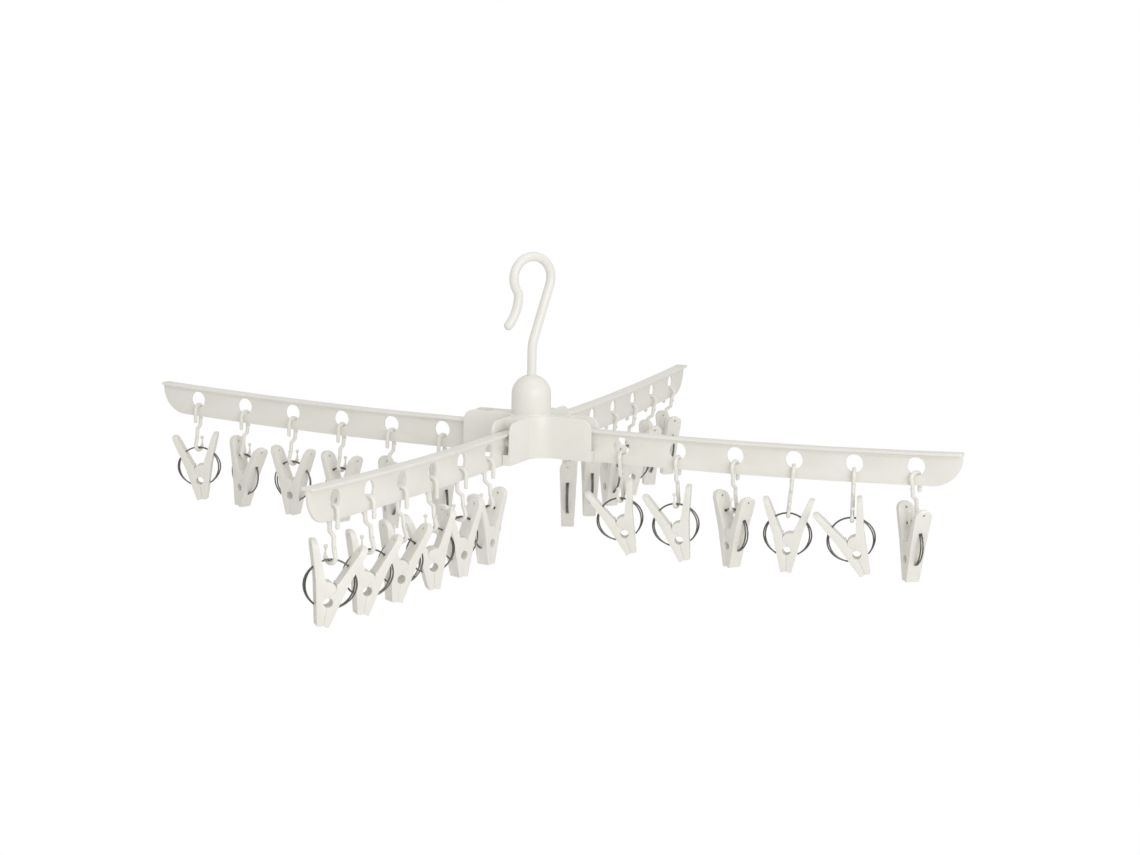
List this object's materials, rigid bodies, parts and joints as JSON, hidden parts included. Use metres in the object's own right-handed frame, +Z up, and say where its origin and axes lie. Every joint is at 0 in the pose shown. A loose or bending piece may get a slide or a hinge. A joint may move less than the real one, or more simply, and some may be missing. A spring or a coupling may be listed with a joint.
{
  "type": "hanging rotary clothesline",
  "caption": "Hanging rotary clothesline: an open hook swivels over a domed hub that carries folding T-section arms, each with a row of linked sprung pegs.",
  "frame": {"origin": "bearing point inside the top of the hook's loop, where the rail carries it", "axes": "+Z up along the stem; the arms point along +X, +Y, -X and -Y"},
  "size_m": [0.7114, 0.7114, 0.2407],
  "materials": {
    "hook_plastic": "moulded off-white plastic, light gloss",
    "hub_plastic": "moulded off-white plastic, light gloss",
    "arm_plastic": "moulded off-white plastic, satin",
    "peg_plastic": "moulded off-white plastic, satin"
  },
  "bodies": {
    "hook": {"hook": "hook_plastic"},
    "hub": {"hub_body": "hub_plastic", "dome_cap": "hub_plastic"},
    "arm_right": {"arm_right": "arm_plastic"},
    "peg_right_1": {"peg_right_1": "peg_plastic"},
    "lever_right_1": {"lever_right_1": "peg_plastic"},
    "peg_right_2": {"peg_right_2": "peg_plastic"},
    "lever_right_2": {"lever_right_2": "peg_plastic"},
    "peg_right_3": {"peg_right_3": "peg_plastic"},
    "lever_right_3": {"lever_right_3": "peg_plastic"},
    "peg_right_4": {"peg_right_4": "peg_plastic"},
    "lever_right_4": {"lever_right_4": "peg_plastic"},
    "peg_right_5": {"peg_right_5": "peg_plastic"},
    "lever_right_5": {"lever_right_5": "peg_plastic"},
    "peg_right_6": {"peg_right_6": "peg_plastic"},
    "lever_right_6": {"lever_right_6": "peg_plastic"},
    "arm_far": {"arm_far": "arm_plastic"},
    "peg_far_1": {"peg_far_1": "peg_plastic"},
    "lever_far_1": {"lever_far_1": "peg_plastic"},
    "peg_far_2": {"peg_far_2": "peg_plastic"},
    "lever_far_2": {"lever_far_2": "peg_plastic"},
    "peg_far_3": {"peg_far_3": "peg_plastic"},
    "lever_far_3": {"lever_far_3": "peg_plastic"},
    "peg_far_4": {"peg_far_4": "peg_plastic"},
    "lever_far_4": {"lever_far_4": "peg_plastic"},
    "peg_far_5": {"peg_far_5": "peg_plastic"},
    "lever_far_5": {"lever_far_5": "peg_plastic"},
    "peg_far_6": {"peg_far_6": "peg_plastic"},
    "lever_far_6": {"lever_far_6": "peg_plastic"},
    "arm_left": {"arm_left": "arm_plastic"},
    "peg_left_1": {"peg_left_1": "peg_plastic"},
    "lever_left_1": {"lever_left_1": "peg_plastic"},
    "peg_left_2": {"peg_left_2": "peg_plastic"},
    "lever_left_2": {"lever_left_2": "peg_plastic"},
    "peg_left_3": {"peg_left_3": "peg_plastic"},
    "lever_left_3": {"lever_left_3": "peg_plastic"},
    "peg_left_4": {"peg_left_4": "peg_plastic"},
    "lever_left_4": {"lever_left_4": "peg_plastic"},
    "peg_left_5": {"peg_left_5": "peg_plastic"},
    "lever_left_5": {"lever_left_5": "peg_plastic"},
    "peg_left_6": {"peg_left_6": "peg_plastic"},
    "lever_left_6": {"lever_left_6": "peg_plastic"},
    "arm_near": {"arm_near": "arm_plastic"},
    "peg_near_1": {"peg_near_1": "peg_plastic"},
    "lever_near_1": {"lever_near_1": "peg_plastic"},
    "peg_near_2": {"peg_near_2": "peg_plastic"},
    "lever_near_2": {"lever_near_2": "peg_plastic"},
    "peg_near_3": {"peg_near_3": "peg_plastic"},
    "lever_near_3": {"lever_near_3": "peg_plastic"},
    "peg_near_4": {"peg_near_4": "peg_plastic"},
    "lever_near_4": {"lever_near_4": "peg_plastic"},
    "peg_near_5": {"peg_near_5": "peg_plastic"},
    "lever_near_5": {"lever_near_5": "peg_plastic"},
    "peg_near_6": {"peg_near_6": "peg_plastic"},
    "lever_near_6": {"lever_near_6": "peg_plastic"}
  },
  "joints": [
    {"name": "hub_swivel", "type": "hinge", "parent": "hook", "child": "hub", "pos_m": [0, 0, -0.09995], "axis": [0, 0, 1], "continuous": true},
    {"name": "fold_right", "type": "hinge", "parent": "hub", "child": "arm_right", "pos_m": [0.046, 0, -0.14025], "axis": [0, -1, 0], "range_deg": [0, 85]},
    {"name": "swing_right_1", "type": "hinge", "parent": "arm_right", "child": "peg_right_1", "pos_m": [0.0805, 0, -0.14885], "axis": [0, -1, 0], "range_deg": [-30, 0]},
    {"name": "squeeze_right_1", "type": "hinge", "parent": "peg_right_1", "child": "lever_right_1", "pos_m": [0.08163, 0.00041, -0.20612], "axis": [-0.342, 0.9397, 0], "range_deg": [0, 14], "stiffness_Nm_per_rad": 0.1, "springref_deg": -17.19},
    {"name": "swing_right_2", "type": "hinge", "parent": "arm_right", "child": "peg_right_2", "pos_m": [0.1285, 0, -0.14861], "axis": [0, -1, 0], "range_deg": [-30, 0]},
    {"name": "squeeze_right_2", "type": "hinge", "parent": "peg_right_2", "child": "lever_right_2", "pos_m": [0.12951, 0.00027, -0.20596], "axis": [-0.2588, 0.9659, 0], "range_deg": [0, 14], "stiffness_Nm_per_rad": 0.1, "springref_deg": -17.19},
    {"name": "swing_right_3", "type": "hinge", "parent": "arm_right", "child": "peg_right_3", "pos_m": [0.1765, 0, -0.14791], "axis": [0, -1, 0], "range_deg": [-30, 0]},
    {"name": "squeeze_right_3", "type": "hinge", "parent": "peg_right_3", "child": "lever_right_3", "pos_m": [0.17683, -0.00022, -0.20546], "axis": [0.5592, 0.829, 0], "range_deg": [0, 14], "stiffness_Nm_per_rad": 0.1, "springref_deg": -17.19},
    {"name": "swing_right_4", "type": "hinge", "parent": "arm_right", "child": "peg_right_4", "pos_m": [0.2245, 0, -0.14673], "axis": [0, -1, 0], "range_deg": [-30, 0]},
    {"name": "squeeze_right_4", "type": "hinge", "parent": "peg_right_4", "child": "lever_right_4", "pos_m": [0.22191, 0.00009, -0.20417], "axis": [-0.225, 0.9744, 0], "range_deg": [0, 14], "stiffness_Nm_per_rad": 0.1, "springref_deg": -17.19},
    {"name": "swing_right_5", "type": "hinge", "parent": "arm_right", "child": "peg_right_5", "pos_m": [0.2725, 0, -0.14509], "axis": [0, -1, 0], "range_deg": [-30, 0]},
    {"name": "squeeze_right_5", "type": "hinge", "parent": "peg_right_5", "child": "lever_right_5", "pos_m": [0.2738, 0.00035, -0.20227], "axis": [-0.2588, 0.9659, 0], "range_deg": [0, 14], "stiffness_Nm_per_rad": 0.1, "springref_deg": -17.19},
    {"name": "swing_right_6", "type": "hinge", "parent": "arm_right", "child": "peg_right_6", "pos_m": [0.3205, 0, -0.14297], "axis": [0, -1, 0], "range_deg": [-30, 0]},
    {"name": "squeeze_right_6", "type": "hinge", "parent": "peg_right_6", "child": "lever_right_6", "pos_m": [0.32074, -0.00032, -0.20052], "axis": [0.7986, 0.6018, 0], "range_deg": [0, 14], "stiffness_Nm_per_rad": 0.1, "springref_deg": -17.19},
    {"name": "fold_far", "type": "hinge", "parent": "hub", "child": "arm_far", "pos_m": [0, 0.046, -0.14025], "axis": [1, 0, 0], "range_deg": [0, 85]},
    {"name": "swing_far_1", "type": "hinge", "parent": "arm_far", "child": "peg_far_1", "pos_m": [0, 0.0805, -0.14885], "axis": [1, 0, 0], "range_deg": [-30, 0]},
    {"name": "squeeze_far_1", "type": "hinge", "parent": "peg_far_1", "child": "lever_far_1", "pos_m": [-0.00014, 0.08088, -0.2064], "axis": [-0.9397, -0.342, 0], "range_deg": [0, 14], "stiffness_Nm_per_rad": 0.1, "springref_deg": -17.19},
    {"name": "swing_far_2", "type": "hinge", "parent": "arm_far", "child": "peg_far_2", "pos_m": [0, 0.1285, -0.14861], "axis": [1, 0, 0], "range_deg": [-30, 0]},
    {"name": "squeeze_far_2", "type": "hinge", "parent": "peg_far_2", "child": "lever_far_2", "pos_m": [-0.0002, 0.12885, -0.20616], "axis": [-0.866, -0.5, 0], "range_deg": [0, 14], "stiffness_Nm_per_rad": 0.1, "springref_deg": -17.19},
    {"name": "swing_far_3", "type": "hinge", "parent": "arm_far", "child": "peg_far_3", "pos_m": [0, 0.1765, -0.14791], "axis": [1, 0, 0], "range_deg": [-30, 0]},
    {"name": "squeeze_far_3", "type": "hinge", "parent": "peg_far_3", "child": "lever_far_3", "pos_m": [-0.0003, 0.17677, -0.20546], "axis": [-0.6691, -0.7431, 0], "range_deg": [0, 14], "stiffness_Nm_per_rad": 0.1, "springref_deg": -17.19},
    {"name": "swing_far_4", "type": "hinge", "parent": "arm_far", "child": "peg_far_4", "pos_m": [0, 0.2245, -0.14673], "axis": [1, 0, 0], "range_deg": [-30, 0]},
    {"name": "squeeze_far_4", "type": "hinge", "parent": "peg_far_4", "child": "lever_far_4", "pos_m": [0.0003, 0.22477, -0.20428], "axis": [-0.6691, 0.7431, 0], "range_deg": [0, 14], "stiffness_Nm_per_rad": 0.1, "springref_deg": -17.19},
    {"name": "swing_far_5", "type": "hinge", "parent": "arm_far", "child": "peg_far_5", "pos_m": [0, 0.2725, -0.14509], "axis": [1, 0, 0], "range_deg": [-30, 0]},
    {"name": "squeeze_far_5", "type": "hinge", "parent": "peg_far_5", "child": "lever_far_5", "pos_m": [-0.00023, 0.27283, -0.20264], "axis": [-0.8192, -0.5736, 0], "range_deg": [0, 14], "stiffness_Nm_per_rad": 0.1, "springref_deg": -17.19},
    {"name": "swing_far_6", "type": "hinge", "parent": "arm_far", "child": "peg_far_6", "pos_m": [0, 0.3205, -0.14297], "axis": [1, 0, 0], "range_deg": [-30, 0]},
    {"name": "squeeze_far_6", "type": "hinge", "parent": "peg_far_6", "child": "lever_far_6", "pos_m": [-0.00026, 0.32081, -0.20052], "axis": [-0.766, -0.6428, 0], "range_deg": [0, 14], "stiffness_Nm_per_rad": 0.1, "springref_deg": -17.19},
    {"name": "fold_left", "type": "hinge", "parent": "hub", "child": "arm_left", "pos_m": [-0.046, 0, -0.14025], "axis": [0, 1, 0], "range_deg": [0, 85]},
    {"name": "swing_left_1", "type": "hinge", "parent": "arm_left", "child": "peg_left_1", "pos_m": [-0.0805, 0, -0.14885], "axis": [0, 1, 0], "range_deg": [-30, 0]},
    {"name": "squeeze_left_1", "type": "hinge", "parent": "peg_left_1", "child": "lever_left_1", "pos_m": [-0.08077, 0.0003, -0.2064], "axis": [-0.7431, -0.6691, 0], "range_deg": [0, 14], "stiffness_Nm_per_rad": 0.1, "springref_deg": -17.19},
    {"name": "swing_left_2", "type": "hinge", "parent": "arm_left", "child": "peg_left_2", "pos_m": [-0.1285, 0, -0.14861], "axis": [0, 1, 0], "range_deg": [-30, 0]},
    {"name": "squeeze_left_2", "type": "hinge", "parent": "peg_left_2", "child": "lever_left_2", "pos_m": [-0.12878, 0.00029, -0.20616], "axis": [-0.7193, -0.6947, 0], "range_deg": [0, 14], "stiffness_Nm_per_rad": 0.1, "springref_deg": -17.19},
    {"name": "swing_left_3", "type": "hinge", "parent": "arm_left", "child": "peg_left_3", "pos_m": [-0.1765, 0, -0.14791], "axis": [0, 1, 0], "range_deg": [-30, 0]},
    {"name": "squeeze_left_3", "type": "hinge", "parent": "peg_left_3", "child": "lever_left_3", "pos_m": [-0.17688, 0.00011, -0.20546], "axis": [-0.2756, -0.9613, 0], "range_deg": [0, 14], "stiffness_Nm_per_rad": 0.1, "springref_deg": -17.19},
    {"name": "swing_left_4", "type": "hinge", "parent": "arm_left", "child": "peg_left_4", "pos_m": [-0.2245, 0, -0.14673], "axis": [0, 1, 0], "range_deg": [-30, 0]},
    {"name": "squeeze_left_4", "type": "hinge", "parent": "peg_left_4", "child": "lever_left_4", "pos_m": [-0.2249, 0.00003, -0.20428], "axis": [-0.0698, -0.9976, 0], "range_deg": [0, 14], "stiffness_Nm_per_rad": 0.1, "springref_deg": -17.19},
    {"name": "swing_left_5", "type": "hinge", "parent": "arm_left", "child": "peg_left_5", "pos_m": [-0.2725, 0, -0.14509], "axis": [0, 1, 0], "range_deg": [-30, 0]},
    {"name": "squeeze_left_5", "type": "hinge", "parent": "peg_left_5", "child": "lever_left_5", "pos_m": [-0.27326, 0.00029, -0.20253], "axis": [-0.3584, -0.9336, 0], "range_deg": [0, 14], "stiffness_Nm_per_rad": 0.1, "springref_deg": -17.19},
    {"name": "swing_left_6", "type": "hinge", "parent": "arm_left", "child": "peg_left_6", "pos_m": [-0.3205, 0, -0.14297], "axis": [0, 1, 0], "range_deg": [-30, 0]},
    {"name": "squeeze_left_6", "type": "hinge", "parent": "peg_left_6", "child": "lever_left_6", "pos_m": [-0.3199, 0.00025, -0.20046], "axis": [-0.3907, 0.9205, 0], "range_deg": [0, 14], "stiffness_Nm_per_rad": 0.1, "springref_deg": -17.19},
    {"name": "fold_near", "type": "hinge", "parent": "hub", "child": "arm_near", "pos_m": [0, -0.046, -0.14025], "axis": [-1, 0, 0], "range_deg": [0, 85]},
    {"name": "swing_near_1", "type": "hinge", "parent": "arm_near", "child": "peg_near_1", "pos_m": [0, -0.0805, -0.14885], "axis": [-1, 0, 0], "range_deg": [-30, 0]},
    {"name": "squeeze_near_1", "type": "hinge", "parent": "peg_near_1", "child": "lever_near_1", "pos_m": [-0.00006, -0.0809, -0.2064], "axis": [0.9903, -0.1392, 0], "range_deg": [0, 14], "stiffness_Nm_per_rad": 0.1, "springref_deg": -17.19},
    {"name": "swing_near_2", "type": "hinge", "parent": "arm_near", "child": "peg_near_2", "pos_m": [0, -0.1285, -0.14861], "axis": [-1, 0, 0], "range_deg": [-30, 0]},
    {"name": "squeeze_near_2", "type": "hinge", "parent": "peg_near_2", "child": "lever_near_2", "pos_m": [-0.00014, -0.12888, -0.20616], "axis": [0.9397, -0.342, 0], "range_deg": [0, 14], "stiffness_Nm_per_rad": 0.1, "springref_deg": -17.19},
    {"name": "swing_near_3", "type": "hinge", "parent": "arm_near", "child": "peg_near_3", "pos_m": [0, -0.1765, -0.14791], "axis": [-1, 0, 0], "range_deg": [-30, 0]},
    {"name": "squeeze_near_3", "type": "hinge", "parent": "peg_near_3", "child": "lever_near_3", "pos_m": [0.0004, -0.1761, -0.20543], "axis": [-0.7071, 0.7071, 0], "range_deg": [0, 14], "stiffness_Nm_per_rad": 0.1, "springref_deg": -17.19},
    {"name": "swing_near_4", "type": "hinge", "parent": "arm_near", "child": "peg_near_4", "pos_m": [0, -0.2245, -0.14673], "axis": [-1, 0, 0], "range_deg": [-30, 0]},
    {"name": "squeeze_near_4", "type": "hinge", "parent": "peg_near_4", "child": "lever_near_4", "pos_m": [-0.00043, -0.22519, -0.20418], "axis": [0.848, -0.5299, 0], "range_deg": [0, 14], "stiffness_Nm_per_rad": 0.1, "springref_deg": -17.19},
    {"name": "swing_near_5", "type": "hinge", "parent": "arm_near", "child": "peg_near_5", "pos_m": [0, -0.2725, -0.14509], "axis": [-1, 0, 0], "range_deg": [-30, 0]},
    {"name": "squeeze_near_5", "type": "hinge", "parent": "peg_near_5", "child": "lever_near_5", "pos_m": [-0.00054, -0.2731, -0.20253], "axis": [0.7431, -0.6691, 0], "range_deg": [0, 14], "stiffness_Nm_per_rad": 0.1, "springref_deg": -17.19},
    {"name": "swing_near_6", "type": "hinge", "parent": "arm_near", "child": "peg_near_6", "pos_m": [0, -0.3205, -0.14297], "axis": [-1, 0, 0], "range_deg": [-30, 0]},
    {"name": "squeeze_near_6", "type": "hinge", "parent": "peg_near_6", "child": "lever_near_6", "pos_m": [-0.00331, -0.3211, -0.20029], "axis": [0.6691, -0.7431, 0], "range_deg": [0, 14], "stiffness_Nm_per_rad": 0.1, "springref_deg": -17.19}
  ],
  "couplings": [
    {"joint": "swing_right_1", "follows": "fold_right", "ratio": -0.35},
    {"joint": "swing_right_2", "follows": "fold_right", "ratio": -0.35},
    {"joint": "swing_right_3", "follows": "fold_right", "ratio": -0.35},
    {"joint": "swing_right_4", "follows": "fold_right", "ratio": -0.35},
    {"joint": "swing_right_5", "follows": "fold_right", "ratio": -0.35},
    {"joint": "swing_right_6", "follows": "fold_right", "ratio": -0.35},
    {"joint": "swing_far_1", "follows": "fold_far", "ratio": -0.35},
    {"joint": "swing_far_2", "follows": "fold_far", "ratio": -0.35},
    {"joint": "swing_far_3", "follows": "fold_far", "ratio": -0.35},
    {"joint": "swing_far_4", "follows": "fold_far", "ratio": -0.35},
    {"joint": "swing_far_5", "follows": "fold_far", "ratio": -0.35},
    {"joint": "swing_far_6", "follows": "fold_far", "ratio": -0.35},
    {"joint": "swing_left_1", "follows": "fold_left", "ratio": -0.35},
    {"joint": "swing_left_2", "follows": "fold_left", "ratio": -0.35},
    {"joint": "swing_left_3", "follows": "fold_left", "ratio": -0.35},
    {"joint": "swing_left_4", "follows": "fold_left", "ratio": -0.35},
    {"joint": "swing_left_5", "follows": "fold_left", "ratio": -0.35},
    {"joint": "swing_left_6", "follows": "fold_left", "ratio": -0.35},
    {"joint": "swing_near_1", "follows": "fold_near", "ratio": -0.35},
    {"joint": "swing_near_2", "follows": "fold_near", "ratio": -0.35},
    {"joint": "swing_near_3", "follows": "fold_near", "ratio": -0.35},
    {"joint": "swing_near_4", "follows": "fold_near", "ratio": -0.35},
    {"joint": "swing_near_5", "follows": "fold_near", "ratio": -0.35},
    {"joint": "swing_near_6", "follows": "fold_near", "ratio": -0.35}
  ]
}
